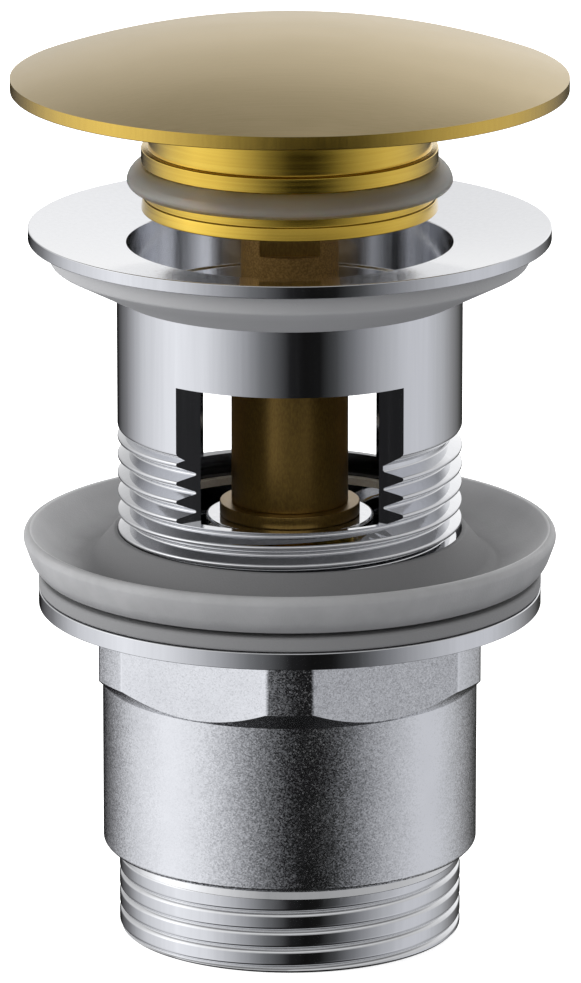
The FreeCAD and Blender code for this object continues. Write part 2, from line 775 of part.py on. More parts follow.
def main():
    bodies = [piece() for piece in PIECES]
    doc.recompute()
    check(bodies)
    os.makedirs("parts", exist_ok=True)
    for body in bodies:
        body.Shape.exportStep(f"parts/{body.Label}.step")
        box = body.Shape.BoundBox
        print(f"{body.Label}: {body.Shape.Volume:.1f} mm3, z {box.ZMin:.2f} to {box.ZMax:.2f}")


main()
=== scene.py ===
import json
import math

import bmesh
import bpy
from mathutils import Matrix, Vector

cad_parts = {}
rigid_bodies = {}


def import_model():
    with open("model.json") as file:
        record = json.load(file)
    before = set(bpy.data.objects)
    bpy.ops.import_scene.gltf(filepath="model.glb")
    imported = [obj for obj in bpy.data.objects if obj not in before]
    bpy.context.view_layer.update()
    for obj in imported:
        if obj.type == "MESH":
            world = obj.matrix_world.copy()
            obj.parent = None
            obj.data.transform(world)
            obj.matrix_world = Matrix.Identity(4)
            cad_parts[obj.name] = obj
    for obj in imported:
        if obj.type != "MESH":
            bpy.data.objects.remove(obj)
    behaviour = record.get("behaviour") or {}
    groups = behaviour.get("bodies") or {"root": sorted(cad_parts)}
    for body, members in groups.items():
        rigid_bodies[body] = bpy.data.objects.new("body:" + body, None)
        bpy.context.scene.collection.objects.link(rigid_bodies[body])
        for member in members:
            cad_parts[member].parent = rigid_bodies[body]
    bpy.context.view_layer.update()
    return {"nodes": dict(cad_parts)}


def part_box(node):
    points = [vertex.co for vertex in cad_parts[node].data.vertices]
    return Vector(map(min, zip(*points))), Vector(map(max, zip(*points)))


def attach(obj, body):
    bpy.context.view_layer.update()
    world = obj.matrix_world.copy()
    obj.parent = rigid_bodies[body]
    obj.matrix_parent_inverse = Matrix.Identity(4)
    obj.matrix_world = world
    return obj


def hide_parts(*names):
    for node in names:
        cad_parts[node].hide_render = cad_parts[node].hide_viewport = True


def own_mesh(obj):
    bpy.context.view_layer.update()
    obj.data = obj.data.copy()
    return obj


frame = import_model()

# Pop up basin waste, dressed over its CAD solids. Profiles are in millimetres: a corner is
# (distance from the axis, height above the foot of the CAD piece, rounding).

mm = 0.001
turning = {
    "steps": 192,
    "cornerSteps": 3,
    "sharpAngle": 32,
    "merge": 0.002,  # corners closer together than this become one
    "thin": 0.001,
}
noiseRange = (0.3, 0.7)  # where most of a noise texture lies
grooveHeight = 3.0  # from the skirt's foot to the groove that holds the lip seal

for item in [o for o in bpy.data.objects if o.name in ("Cube", "Light", "Camera")]:  # Blender's own
    bpy.data.objects.remove(item)


def linear(code):
    parts = [int(code[i:i + 2], 16) / 255 for i in (0, 2, 4)]
    return tuple(p / 12.92 if p <= 0.04045 else ((p + 0.055) / 1.055) ** 2.4 for p in parts) + (1.0,)


def grey(level):
    return (level, level, level, 1)


def footOf(node):
    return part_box(node)[0].z


def addNode(tree, kind, settings=None, links=None):
    # lower-case settings are the node's own, the others are its sockets
    node = tree.nodes.new(kind)
    for key, value in (settings or {}).items():
        if key == "stops":
            ramp = node.color_ramp
            while len(ramp.elements) > 1:
                ramp.elements.remove(ramp.elements[-1])
            ramp.elements[0].position = value[0][0]
            ramp.elements[0].color = value[0][1]
            for position, colour in value[1:]:
                ramp.elements.new(position).color = colour
        elif isinstance(key, str) and key[0].islower():
            setattr(node, key, value)
        else:
            node.inputs[key].default_value = value
    for key, source in (links or {}).items():
        tree.links.new(source, node.inputs[key])
    return node


def newMaterial(name, settings):
    material = bpy.data.materials.new(name)
    material.use_nodes = True
    tree = material.node_tree
    tree.nodes.clear()
    shader = addNode(tree, "ShaderNodeBsdfPrincipled", settings)
    addNode(tree, "ShaderNodeOutputMaterial", links={"Surface": shader.outputs[0]})
    return material, tree, shader


def grainOf(tree, size, stretch=(1, 1, 1), detail=2.0, roughness=0.5):
    # noise whose period is size millimetres, longer along the axes with a larger stretch
    place = addNode(tree, "ShaderNodeTexCoord")
    scale = tuple(1 / (size * mm * s) for s in stretch)
    mapping = addNode(tree, "ShaderNodeMapping", {"Scale": scale}, {"Vector": place.outputs["Object"]})
    noise = addNode(tree, "ShaderNodeTexNoise", {"Scale": 1.0, "Detail": detail, "Roughness": roughness},
                    {"Vector": mapping.outputs[0]})
    return noise.outputs["Fac"]


def dress(tree, shader, look, pattern, tintPattern=None):
    # the pattern moves the roughness and the bump, and the colour too unless that has its own
    tint = addNode(tree, "ShaderNodeValToRGB", {"stops": [(at, linear(code)) for at, code in look["colours"]]},
                   {0: tintPattern or pattern})
    (start, end), (low, high) = noiseRange, look["roughness"]
    rough = addNode(tree, "ShaderNodeMapRange", {"From Min": start, "From Max": end, "To Min": low, "To Max": high},
                    {"Value": pattern})
    tree.links.new(tint.outputs[0], shader.inputs["Base Color"])
    tree.links.new(rough.outputs[0], shader.inputs["Roughness"])
    if "bump" in look:
        strength, depth = look["bump"]
        bump = addNode(tree, "ShaderNodeBump", {"Strength": strength, "Distance": depth * mm}, {"Height": pattern})
        tree.links.new(bump.outputs[0], shader.inputs["Normal"])


# finishes in which one grain moves the colour, the roughness and the bump. A grain is its
# size in mm, its stretch along X, Y and Z, its detail and its roughness; a bump is its
# strength and its depth in mm; colours stand where they come on the grain.
grainedLooks = {
    # the champagne coat on the cap's turned edge, where the scratches stand upright
    "goldRim": {
        "name": "brushedGoldRim", "shader": {"Metallic": 1.0, "Coat Weight": 0.65, "Coat Roughness": 0.15},
        "grain": (0.3, (1, 1, 12), 3.0, 0.5), "colours": [(0.35, "D5B14A"), (0.65, "D9B64E")],
        "roughness": (0.22, 0.26), "bump": (0.01, 0.01),
    },
    # polished brass with a yellow PVD coat: mirror-like, with faint turning lines
    "goldSkirt": {
        "name": "polishedGold", "shader": {"Metallic": 1.0, "Coat Weight": 0.6, "Coat Roughness": 0.12},
        "grain": (0.35, (60, 60, 1), 2.0, 0.5), "colours": [(0.35, "DBB53F"), (0.65, "E4C048")],
        "roughness": (0.15, 0.23), "bump": (0.03, 0.02),
    },
    # bright chrome plate over polished brass: a cool mirror, hair-fine upright wipe marks
    "chrome": {
        "name": "polishedChrome", "shader": {"Metallic": 1.0},
        "grain": (0.6, (1, 1, 30), 2.0, 0.5), "colours": [(0.3, "D6D7DA"), (0.7, "DADBDE")],
        "roughness": (0.04, 0.1), "bump": (0.01, 0.01),
    },
    # the same plate over the seat in the tube's mouth: a little duller, and paler, a painted light where it mirrors
    # itself
    "mouthLight": {
        "name": "reamedChrome", "shader": {"Metallic": 1.0},
        "grain": (0.6, (1, 1, 30), 2.0, 0.5), "colours": [(0.3, "E9EAED"), (0.7, "EDEEF1")],
        "roughness": (0.13, 0.19), "bump": (0.01, 0.01),
    },
    # a darker, duller copy of the chrome for the faces deep inside the tube and the tail: painted shade where little
    # light gets in
    "insideShade": {
        "name": "boredChrome", "shader": {"Metallic": 1.0},
        "grain": (0.3, (40, 40, 1), 2.0, 0.5), "colours": [(0.3, "5E5F62"), (0.7, "6E6F72")],
        "roughness": (0.12, 0.24),
    },
    # plated zinc casting of the strainer: satin, softer than the tube round it
    "satin": {
        "name": "satinChrome", "shader": {"Metallic": 1.0},
        "grain": (0.8, (1, 1, 1), 2.0, 0.5), "colours": [(0.35, "DADBDE"), (0.65, "E2E3E5")],
        "roughness": (0.04, 0.14),
    },
    # the upper band of the strainer's ring: matt and pale with a warm tint, a painted light and a painted reflection of
    # the brass beside it
    "paleBand": {
        "name": "rawZinc", "shader": {},
        "grain": (0.3, (1, 1, 1), 3.0, 0.5), "colours": [(0.35, "EEE8DC"), (0.65, "F8F3E9")],
        "roughness": (0.4, 0.5),
    },
    # bare brass rod, turned and aged brown
    "brass": {
        "name": "turnedBrass", "shader": {"Metallic": 0.76, "Coat Weight": 0.35, "Coat Roughness": 0.4},
        "grain": (0.2, (1, 1, 2.5), 3.0, 0.6), "colours": [(0.38, "86682C"), (0.66, "9C7E38")],
        "roughness": (0.28, 0.44), "bump": (0.25, 0.03),
    },
    # sand-cast brass of the plunger: brown and grainy
    "cast": {
        "name": "castBrass", "shader": {"Metallic": 0.65},
        "grain": (0.25, (1, 1, 1), 3.0, 0.6), "colours": [(0.4, "90703E"), (0.62, "BA9556")],
        "roughness": (0.39, 0.55), "bump": (0.5, 0.05),
    },
    # zinc-plated steel wire and screws, drawn and rolled: grey with fine lines
    "steel": {
        "name": "drawnSteel", "shader": {"Metallic": 1.0},
        "grain": (0.4, (1, 1, 4), 2.0, 0.5), "colours": [(0.35, "94969B"), (0.65, "B4B6BA")],
        "roughness": (0.25, 0.4), "bump": (0.1, 0.03),
    },
    # moulded white acetal: smooth and waxy
    "acetal": {
        "name": "mouldedAcetal", "shader": {"IOR": 1.48},
        "grain": (3, (1, 1, 1), 2.0, 0.5), "colours": [(0.35, "D8D8D3"), (0.65, "E6E6E2")],
        "roughness": (0.33, 0.43),
    },
}


def grainedFinish(look):
    material, tree, shader = newMaterial(look["name"], look["shader"])
    dress(tree, shader, look, grainOf(tree, *look["grain"]))
    return material


def brushedGold():
    # brass under a champagne PVD coat, brushed in straight lines across: long fine
    # scratches that spread the light sideways, and a faint cloud in the coat
    look = {
        "colours": [(0.35, "C1AD7F"), (0.62, "CDB98E")], "roughness": (0.33, 0.45), "bump": (0.1, 0.04),
        "lineWidth": 0.22, "lineLength": 12, "cloud": 14, "cloudShare": 0.45,
    }
    material, tree, shader = newMaterial("brushedGoldTop", {"Metallic": 1.0, "Coat Weight": 0.3, "Coat Roughness": 0.3})
    lines = grainOf(tree, look["lineWidth"], (look["lineLength"] / look["lineWidth"], 1, 1), 3.0)
    cloud = grainOf(tree, look["cloud"], (2, 1, 1))
    share = look["cloudShare"]
    most = addNode(tree, "ShaderNodeMath", {"operation": "MULTIPLY", 1: 1 - share}, {0: lines})
    both = addNode(tree, "ShaderNodeMath", {"operation": "MULTIPLY_ADD", 1: share}, {0: cloud, 2: most.outputs[0]})
    dress(tree, shader, look, lines, both.outputs[0])
    return material


def blastedChrome():
    # chrome plate over sand-blasted brass: every grain of the grit left a small facet
    # with its own tilt, drawn about twice as coarse as real so that it shows
    look = {
        "colours": [(0.35, "DBDCDF"), (0.65, "DFE0E3")], "roughness": (0.09, 0.16),
        "patch": 5, "grit": 0.14, "tilt": 0.17,
    }
    material, tree, shader = newMaterial("blastedChrome", {"Metallic": 1.0})
    dress(tree, shader, look, grainOf(tree, look["patch"], detail=1.0))
    place = addNode(tree, "ShaderNodeTexCoord")
    facets = addNode(tree, "ShaderNodeTexVoronoi", {"Scale": 1 / (look["grit"] * mm)},
                     {"Vector": place.outputs["Object"]})
    centred = addNode(tree, "ShaderNodeVectorMath", {"operation": "SUBTRACT", 1: (0.5, 0.5, 0.5)},
                      {0: facets.outputs["Color"]})
    tilted = addNode(tree, "ShaderNodeVectorMath", {"operation": "SCALE", "Scale": look["tilt"]},
                     {0: centred.outputs[0]})
    surface = addNode(tree, "ShaderNodeNewGeometry")
    normal = addNode(tree, "ShaderNodeVectorMath", {"operation": "ADD"},
                     {0: surface.outputs["Normal"], 1: tilted.outputs[0]})
    unit = addNode(tree, "ShaderNodeVectorMath", {"operation": "NORMALIZE"}, {0: normal.outputs[0]})
    tree.links.new(unit.outputs[0], shader.inputs["Normal"])
    return material


def mouldedRubber(name, middle, rim, start, end):
    # moulded EPDM rubber: matt, with fine pores; its colour goes from middle to rim between the radii start and end, a
    # ramp of painted light and shade with an uneven edge
    look = {
        "colours": [(0.0, middle), (1.0, rim)], "roughness": (0.64, 0.8), "bump": (0.5, 0.06),
        "rampWobble": 6, "rampWobbleShare": 2.0, "pore": 0.22,
    }
    material, tree, shader = newMaterial(name, {"Specular IOR Level": 0.35})
    rampWobble = grainOf(tree, look["rampWobble"], detail=4.0, roughness=0.6)
    pore = grainOf(tree, look["pore"], detail=2.0)
    place = addNode(tree, "ShaderNodeTexCoord")
    level = addNode(tree, "ShaderNodeVectorMath", {"operation": "MULTIPLY", 1: (1, 1, 0)}, {0: place.outputs["Object"]})
    across = addNode(tree, "ShaderNodeVectorMath", {"operation": "LENGTH"}, {0: level.outputs[0]})
    uneven = addNode(tree, "ShaderNodeMath", {"operation": "MULTIPLY_ADD", 1: look["rampWobbleShare"] * mm},
                     {0: rampWobble, 2: across.outputs["Value"]})
    shift = look["rampWobbleShare"] / 2
    paintedRamp = addNode(tree, "ShaderNodeMapRange", {"From Min": (start + shift) * mm, "From Max": (end + shift) * mm},
                     {"Value": uneven.outputs[0]})
    dress(tree, shader, look, pore, paintedRamp.outputs[0])
    return material


def softSilicone():
    # moulded translucent silicone: milky, lets some light and the gold behind it through. Its colour by height is
    # painted: a pale band near the thin edge is a painted highlight, and the gold tints at the foot and the top are a
    # painted show-through of the gold behind
    paintedHeights = [(0.0, "ADA28E"), (0.3, "B2A998"), (0.5, "DADADA"), (0.85, "D4D3D0"), (1.3, "BEBBB4"),
               (2.1, "BCB6A8"), (2.75, "C6B078")]  # millimetres above the groove
    reach = 3
    look = {
        "colours": [(height / reach, code) for height, code in paintedHeights], "roughness": (0.28, 0.42),
        "bump": (0.1, 0.03), "rampWobble": 4, "rampWobbleShare": 0.4, "pore": 0.2,
    }
    material, tree, shader = newMaterial("softSilicone", {
        "IOR": 1.41, "Subsurface Weight": 0.3, "Subsurface Scale": 0.001, "Transmission Weight": 0.75,
    })
    rampWobble = grainOf(tree, look["rampWobble"], detail=3.0)
    pore = grainOf(tree, look["pore"], detail=2.0)
    place = addNode(tree, "ShaderNodeTexCoord")
    split = addNode(tree, "ShaderNodeSeparateXYZ", links={0: place.outputs["Object"]})
    uneven = addNode(tree, "ShaderNodeMath", {"operation": "MULTIPLY_ADD", 1: look["rampWobbleShare"] * mm},
                     {0: rampWobble, 2: split.outputs["Z"]})
    low = footOf("plug_skirt") + (grooveHeight + look["rampWobbleShare"] / 2) * mm
    level = addNode(tree, "ShaderNodeMapRange", {"From Min": low, "From Max": low + reach * mm},
                    {"Value": uneven.outputs[0]})
    dress(tree, shader, look, pore, level.outputs[0])
    return material


finishes = {
    "goldTop": brushedGold(),
    "blasted": blastedChrome(),
    # the rubbers' colour ramps are painted light and shade: the cup paler towards its rim, its inside darker in the
    # valley by the hub, the gasket paler towards its outer side, and the washer darker all over, painted shade under
    # the cup's lip
    "cupRubber": mouldedRubber("cupRubber", "9A9A9B", "B6B6B7", 31.0, 32.7),
    "cupInside": mouldedRubber("cupInside", "7E7E7F", "C6C6C7", 25.5, 31.6),
    "gasketRubber": mouldedRubber("gasketRubber", "ACACAD", "B8B8B9", 26, 29.5),
    "washerRubber": mouldedRubber("washerRubber", "8C8C8D", "909091", 26, 31),
    "silicone": softSilicone(),
}
for key, look in grainedLooks.items():
    finishes[key] = grainedFinish(look)
print("finishes made:", len(finishes))


def drawProfile(bm, corners, closed=True):
    # a wire in the XZ plane; ("arc", centre across, centre up, degrees, steps) turns on
    # from the last corner, counter-clockwise for positive degrees
    first, last, rounded = None, None, []
    for corner in corners:
        if corner[0] == "arc":
            made = bmesh.ops.spin(bm, geom=[last], cent=(corner[1] * mm, 0, corner[2] * mm), axis=(0, -1, 0),
                                  angle=math.radians(corner[3]), steps=corner[4])
            last = made["geom_last"][0]
            continue
        vert = bm.verts.new((corner[0] * mm, 0, corner[1] * mm))
        if last:
            bm.edges.new((last, vert))
        if len(corner) > 2:
            rounded.append((vert, corner[2]))
        first, last = first or vert, vert
    if closed:
        bm.edges.new((last, first))
    for vert, size in rounded:
        bmesh.ops.bevel(bm, geom=[vert], offset=size * mm, offset_type="OFFSET", segments=turning["cornerSteps"],
                        profile=0.5, affect="VERTICES", material=-1)


def turnedMesh(corners, foot=0.0, closed=True, steps=None):
    # a profile spun all the way round the axis
    bm = bmesh.new()
    drawProfile(bm, corners, closed)
    bmesh.ops.translate(bm, verts=bm.verts, vec=(0, 0, foot))
    bmesh.ops.spin(bm, geom=bm.verts[:] + bm.edges[:], cent=(0, 0, 0), axis=(0, 0, 1), angle=math.tau,
                   steps=steps or turning["steps"], use_merge=True)
    bmesh.ops.remove_doubles(bm, verts=bm.verts, dist=turning["merge"] * mm)
    bmesh.ops.dissolve_degenerate(bm, dist=turning["thin"] * mm, edges=bm.edges)
    bmesh.ops.recalc_face_normals(bm, faces=bm.faces)
    return bm


def coilUp(bm, turns, rise, steps):
    # carries the profile in bm up a helix that rises by rise, and fills both ends
    bmesh.ops.spin(bm, geom=bm.verts[:] + bm.edges[:], cent=(0, 0, 0), axis=(0, 0, 1), angle=math.tau * turns,
                   dvec=(0, 0, rise / steps), steps=steps)
    bmesh.ops.holes_fill(bm, edges=[e for e in bm.edges if e.is_boundary], sides=0)
    bmesh.ops.recalc_face_normals(bm, faces=bm.faces)
    return bm


def coiledMesh(corners, foot, turns, pitch, stepsPerTurn, start=0.0):
    bm = bmesh.new()
    drawProfile(bm, corners)
    bmesh.ops.translate(bm, verts=bm.verts, vec=(0, 0, foot))
    bmesh.ops.rotate(bm, verts=bm.verts, cent=(0, 0, 0), matrix=Matrix.Rotation(math.radians(start), 3, "Z"))
    return coilUp(bm, turns, pitch * mm * turns, round(turns * stepsPerTurn))


def newPiece(name, bm, *looks):
    mesh = bpy.data.meshes.new(name)
    bm.to_mesh(mesh)
    bm.free()
    piece = bpy.data.objects.new(name, mesh)
    bpy.context.scene.collection.objects.link(piece)
    for look in looks:
        mesh.materials.append(finishes[look])
    return piece


def blocks(name, places):
    # cutting blocks: (size, centre, turn about the axis in degrees), sizes in millimetres
    bm = bmesh.new()
    for size, centre, turn in places:
        matrix = Matrix.Rotation(math.radians(turn), 4, "Z") @ Matrix.Translation(Vector(centre) * mm)
        matrix = matrix @ Matrix.Diagonal((size[0] * mm, size[1] * mm, size[2] * mm, 1))
        bmesh.ops.create_cube(bm, size=1.0, matrix=matrix)
    return newPiece(name, bm, "steel")


def combine(piece, other, operation="DIFFERENCE"):
    step = piece.modifiers.new("combine", "BOOLEAN")
    step.operation = operation
    step.solver = "EXACT"
    step.object = other
    bpy.context.view_layer.update()
    shape = piece.evaluated_get(bpy.context.evaluated_depsgraph_get())
    mesh = bpy.data.meshes.new_from_object(shape)
    piece.modifiers.clear()
    piece.data = mesh
    bpy.data.objects.remove(other)


def finish(piece, body, slot, *nodes, angle=turning["sharpAngle"], even=True):
    mesh = piece.data
    bm = bmesh.new()
    bm.from_mesh(mesh)
    bmesh.ops.remove_doubles(bm, verts=bm.verts, dist=turning["merge"] * mm)
    bm.to_mesh(mesh)
    bm.free()
    for face in mesh.polygons:
        face.use_smooth = True
    mesh.set_sharp_from_angle(angle=math.radians(angle))
    if even:  # large faces keep their own normal beside small roundings
        step = piece.modifiers.new("evenNormals", "WEIGHTED_NORMAL")
        step.mode = "FACE_AREA"
        step.keep_sharp = True
    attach(piece, body)
    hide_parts(*nodes)
    print(piece.name, "faces:", len(mesh.polygons))
    return piece


# the plug: cap, skirt and lip

capDome = {
    "rim": 33.66,
    "sideHeight": 1.67,
    "rise": 5.95,
    "wall": 1.8,
    "land": 31.2,
    "boss": 17.6,
    "domeSteps": 40,
    "insideSteps": 12,
}


def makeCapDome():
    size = capDome
    radius = (size["rim"] ** 2 + size["rise"] ** 2) / (2 * size["rise"])
    top = size["sideHeight"] + size["rise"]
    centre = top - radius
    inner = radius - size["wall"]
    bossTop = centre + math.sqrt(inner ** 2 - size["boss"] ** 2)
    landAngle = math.degrees(math.asin(size["land"] / inner))
    bossAngle = math.degrees(math.asin(size["boss"] / inner))
    domeAngle = math.degrees(math.asin(size["rim"] / radius))
    corners = [
        (0.0, 0.0),
        (size["boss"], 0.0, 0.3),
        (size["boss"], bossTop),
        ("arc", 0, centre, bossAngle - landAngle, size["insideSteps"]),
        (size["land"], 0.0, 0.3),
        (size["rim"], 0.0, 0.25),
        (size["rim"], size["sideHeight"]),
        ("arc", 0, centre, domeAngle, size["domeSteps"]),
    ]
    foot = footOf("cap_dome")
    piece = newPiece("capDome", turnedMesh(corners, foot, closed=False), "goldTop", "goldRim")
    for face in piece.data.polygons:
        face.material_index = 1 if face.center.z < foot + size["sideHeight"] * mm else 0
    finish(piece, "plug", "cap_gold", "cap_dome", angle=20)


plugSkirt = {
    # ring under the lip, groove, ring over it and neck, then the inside with its floor and stud hole
    "profile": [
        (3.05, 6.5), (14.9, 6.5, 0.6), (14.9, 0.0, 0.2), (17.94, 0.0, 0.2), (17.79, 1.6, 0.12), (17.45, 1.6, 0.1),
        (17.45, 3.0, 0.1), (15.9, 3.0), (15.9, 5.77), (17.94, 5.77, 0.15), (17.94, 7.7, 0.15), (17.1, 7.7, 0.1),
        (17.1, 14.55, 0.1), (14.9, 14.55, 0.1), (14.9, 9.0, 0.6), (5.5, 9.0), (5.5, 14.55), (3.05, 14.55),
    ],
}


def makePlugSkirt():
    bm = turnedMesh(plugSkirt["profile"], footOf("plug_skirt"))
    finish(newPiece("plugSkirt", bm, "goldSkirt"), "plug", "skirt_gold", "plug_skirt")


lipSeal = {
    # a flap that slopes down and out from the groove to a rounded edge
    "profile": [
        (15.97, 0.02), (17.6, 0.02), (19.2, -0.1, 0.25), (19.72, 0.45, 0.3), (19.62, 1.15, 0.45), (18.98, 2.3, 0.85),
        (17.92, 2.75), (15.97, 2.75),
    ],
}


def makeLipSeal():
    bm = turnedMesh(lipSeal["profile"], footOf("plug_skirt") + grooveHeight * mm)
    finish(newPiece("lipSeal", bm, "silicone"), "plug", "lip_silicone", "lip_seal", angle=50)


# the upper part: flange tube, gasket, strainer and cartridge

flangeTube = {
    "smoothRadius": 20.955,
    "rootRadius": 19.5,
    "bore": 19.17,
    "ledge": 17.7,
    "ledgeHeight": 12.2,
    "seatStep": 42.8,
    "seatBore": 19.75,
    "height": 52.09,
    "flange": 31.65,
    "flangeEdge": 1.51,
    "flangeCone": 3.49,
    "dish": 1.91,
    "windowReach": 15.93,
    "windowFoot": 19.0,
    "windowHeight": 16.85,
    "insideShadeTo": 19.32,  # faces nearer the axis than this, under the windows, get the dark chrome: painted shade
    "mouthLightTo": 19.77,  # and nearer than this, over the windows, get the pale chrome: painted light
    "threadFoot": 1.3,
    "threadTop": 26.2,
    "threadPast": 0.35,  # how far the ridge runs into the smooth part
    "threadRunout": 1.25,
    "threadAngle": -70,  # where the ridge starts round the axis
    "pitch": 2.309,
    "crestHalf": 0.2,
    "crestRound": 0.16,
    "rootFlat": 0.14,
    "rootRound": 0.12,
    "stepsPerTurn": 96,
}
threadSink = 0.3  # how deep a ridge sits in its core
coreGap = 0.05  # the core stays this far under the ridge's root, so that the two share no face
turnGap = 0.004  # and each turn of the ridge stays this far from the next


def ridgeProfile(size):
    # one thread: its crest, its flanks and half a root on each side
    root, crest, tip = size["rootRadius"], size["smoothRadius"], size["crestHalf"]
    half = size["pitch"] / 2 - turnGap
    flank = half - size["rootFlat"]
    rootRound, crestRound = size["rootRound"], size["crestRound"]
    return [(root - threadSink, -half), (root, -half), (root, -flank, rootRound), (crest, -tip, crestRound),
            (crest, tip, crestRound), (root, flank, rootRound), (root, half), (root - threadSink, half)]


def makeFlangeTube():
    size = flangeTube
    foot = footOf("flange_tube")
    wide, deep, top = size["smoothRadius"], size["rootRadius"], size["height"]
    core = turnedMesh([
        (size["ledge"], 0.0, 0.15), (deep - 0.2, 0.0, 0.2), (deep - coreGap, 0.5), (deep - coreGap, size["threadTop"]),
        (wide, size["threadTop"] + size["threadRunout"], 0.3), (wide, top - size["flangeCone"], 0.3),
        (size["flange"], top - size["flangeEdge"], 0.12), (size["flange"], top, 0.1), (size["flange"] - 0.2, top),
        (size["seatBore"], top - size["dish"], 0.1), (size["seatBore"], size["seatStep"], 0.1),
        (size["bore"], size["seatStep"], 0.15), (size["bore"], size["windowFoot"]),
        (size["bore"], size["ledgeHeight"]), (size["ledge"], size["ledgeHeight"], 0.1),
    ], foot)
    piece = newPiece("flangeTube", core, "chrome")
    turns = (size["threadTop"] + size["threadPast"] - size["threadFoot"]) / size["pitch"]
    ridge = coiledMesh(ridgeProfile(size), foot + size["threadFoot"] * mm, turns, size["pitch"], size["stepsPerTurn"],
                       size["threadAngle"])
    combine(piece, newPiece("ridge", ridge, "chrome"), "UNION")
    middle = foot / mm + size["windowFoot"] + size["windowHeight"] / 2
    wideCut, deepCut = 60, 12.0
    combine(piece, blocks("windows", [((wideCut, deepCut, size["windowHeight"]),
                                       (0, -size["windowReach"] - deepCut / 2, middle), turn) for turn in (0, 180)]))
    piece.data.materials.append(finishes["insideShade"])
    piece.data.materials.append(finishes["mouthLight"])
    low, high = foot + size["windowFoot"] * mm, foot + (size["windowFoot"] + size["windowHeight"]) * mm
    # faces in the bore get the dark chrome, painted shade, and faces in the mouth the pale chrome, painted light
    for face in piece.data.polygons:
        across, up = math.hypot(*face.center.xy), face.center.z
        insideShade = across < size["insideShadeTo"] * mm and up < low
        mouthLight = across < size["mouthLightTo"] * mm and up > high
        face.material_index = 1 if insideShade else 2 if mouthLight else 0
    finish(piece, "upper", "chrome_polished", "flange_tube")


upperGasket = {
    # soft tapered ring: its corners are moulded round
    "profile": [(21.05, 0.05, 0.15), (29.05, 4.15, 0.3), (29.05, 6.2, 0.25), (21.05, 4.66)],
}


def makeUpperGasket():
    bm = turnedMesh(upperGasket["profile"], footOf("upper_gasket"))
    finish(newPiece("upperGasket", bm, "gasketRubber"), "upper", "seal_rubber", "upper_gasket")


strainerSpider = {
    "hub": 10.26,
    "hole": 3.05,
    "ringOut": 19.1,
    "ringIn": 18.1,
    "paleBandFrom": 18.0,  # the ring's faces further out than this, at its upper end, get the pale paint
    "paleBandHeight": 0.95,
    "height": 4.0,
    "armWidth": 3.0,
    "armHeight": 2.0,
    "armRound": 0.35,
    "armAngles": (60, 180, 300),
    "hubOverlap": 1.0,
    "ringOverlap": 0.5,
}


def makeStrainerSpider():
    size = strainerSpider
    foot = footOf("strainer_spider")
    high = size["height"]
    band = high - size["paleBandHeight"]
    hub = turnedMesh([(size["hole"], 0, 0.1), (size["hub"], 0, 0.25), (size["hub"], high, 0.35),
                      (size["hole"], high, 0.1)], foot)
    ring = turnedMesh([(size["ringIn"], 0, 0.2), (size["ringOut"], 0, 0.2), (size["ringOut"], high, 0.2),
                       (size["ringIn"], high, 0.1), (size["ringIn"], band)], foot)
    piece = newPiece("strainerSpider", hub, "satin")
    outer = newPiece("spiderRing", ring, "satin")
    inside = size["hub"] - size["hubOverlap"]
    length = size["ringOut"] - size["ringOverlap"] - inside
    arms = bmesh.new()
    for angle in size["armAngles"]:
        matrix = Matrix.Rotation(math.radians(angle), 4, "Z") @ Matrix.Translation(
            ((inside + length / 2) * mm, 0, foot + size["armHeight"] / 2 * mm))
        cube = bmesh.ops.create_cube(arms, size=1.0, matrix=matrix @ Matrix.Diagonal(
            (length * mm, size["armWidth"] * mm, size["armHeight"] * mm, 1)))
        edges = {e for v in cube["verts"] for e in v.link_edges}
        bmesh.ops.bevel(arms, geom=list(edges), offset=size["armRound"] * mm, offset_type="OFFSET",
                        segments=turning["cornerSteps"], profile=0.5, affect="EDGES", material=-1)
    combine(outer, newPiece("spiderArms", arms, "satin"), "UNION")
    combine(piece, outer, "UNION")
    piece.data.materials.append(finishes["paleBand"])
    # the ring's upper band gets the pale paint: painted light and a painted reflection of the brass
    for face in piece.data.polygons:
        cast = math.hypot(*face.center.xy) > size["paleBandFrom"] * mm and face.center.z > foot + band * mm
        face.material_index = 1 if cast else 0
    finish(piece, "upper", "chrome_polished", "strainer_spider")


cartridge = {
    "collar": [
        (3.05, 0, 0.1), (8.53, 0, 0.2), (8.53, 1.6, 0.12), (5.93, 1.6), (5.93, 4.0, 0.4), (0.9, 4.0), (0.9, 2.95),
        (3.05, 2.95),
    ],
    "sleeve": [(5.98, 0, 0.1), (7.1, 0, 0.15), (7.1, 18.6, 0.3), (5.98, 18.6, 0.1)],
}


def makeCartridge():
    base = turnedMesh(cartridge["collar"], footOf("cartridge_base"))
    finish(newPiece("cartridgeBase", base, "brass"), "upper", "brass_turned", "cartridge_base")
    sleeve = turnedMesh(cartridge["sleeve"], footOf("cartridge_sleeve"))
    finish(newPiece("cartridgeSleeve", sleeve, "brass"), "upper", "brass_turned", "cartridge_sleeve")


pushRod = {
    "profile": [
        (0, 15.7), (4.2, 15.7), (4.2, 0.0, 0.2), (5.51, 0.0, 0.1), (5.91, 0.4, 0.1), (5.91, 27.9, 0.3),
        (3.05, 27.9, 0.2), (3.05, 19.4), (0, 19.4),
    ],
    "length": 27.9,
    "steps": 96,
    "flats": 9.3,
    "flatFoot": 16.5,
    "slotTurn": 120,
    "travel": 12.0,
    "ballOrbit": 6.15,
    "ballHeight": 5.1,
    "slotHalf": 1.1,
    "slotAngle": 30,
    "slotSteps": 144,
    "cutRadius": 9.0,
}


